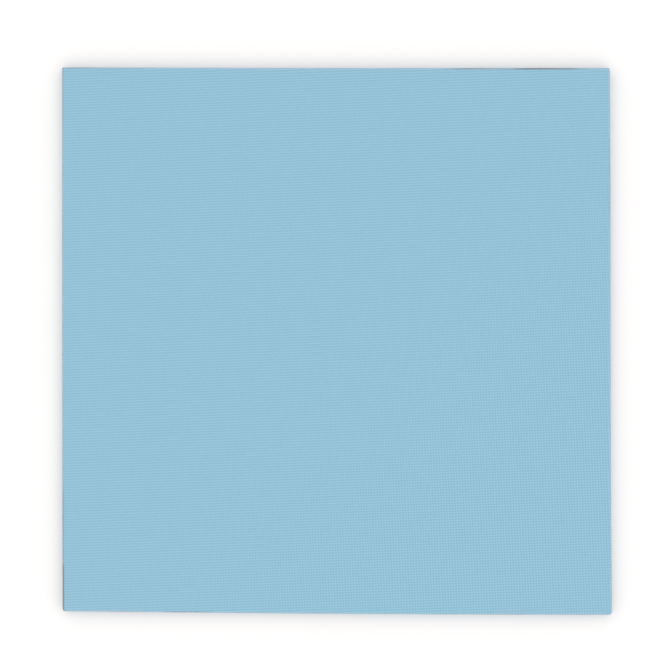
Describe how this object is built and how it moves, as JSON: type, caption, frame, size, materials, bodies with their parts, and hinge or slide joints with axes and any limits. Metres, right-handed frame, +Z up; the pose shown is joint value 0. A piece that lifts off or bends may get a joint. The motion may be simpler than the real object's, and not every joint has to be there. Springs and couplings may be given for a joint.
{
  "type": "thermal pad sheet",
  "caption": "Soft square sheet of light blue, ceramic-filled silicone with a fine cloth print on its faces, to be cut to size and pressed between a hot component and its heatsink.",
  "frame": {"origin": "middle of the sheet's underside, on the surface that it lies on", "axes": "+Z up, through the sheet's thickness; +X to the right and +Y away from the viewer, each along a cut side"},
  "size_m": [0.146, 0.1451, 0.0025],
  "materials": {
    "filled_silicone": "matte"
  },
  "bodies": {
    "root": {"pad_sheet": "filled_silicone"}
  },
  "joints": []
}
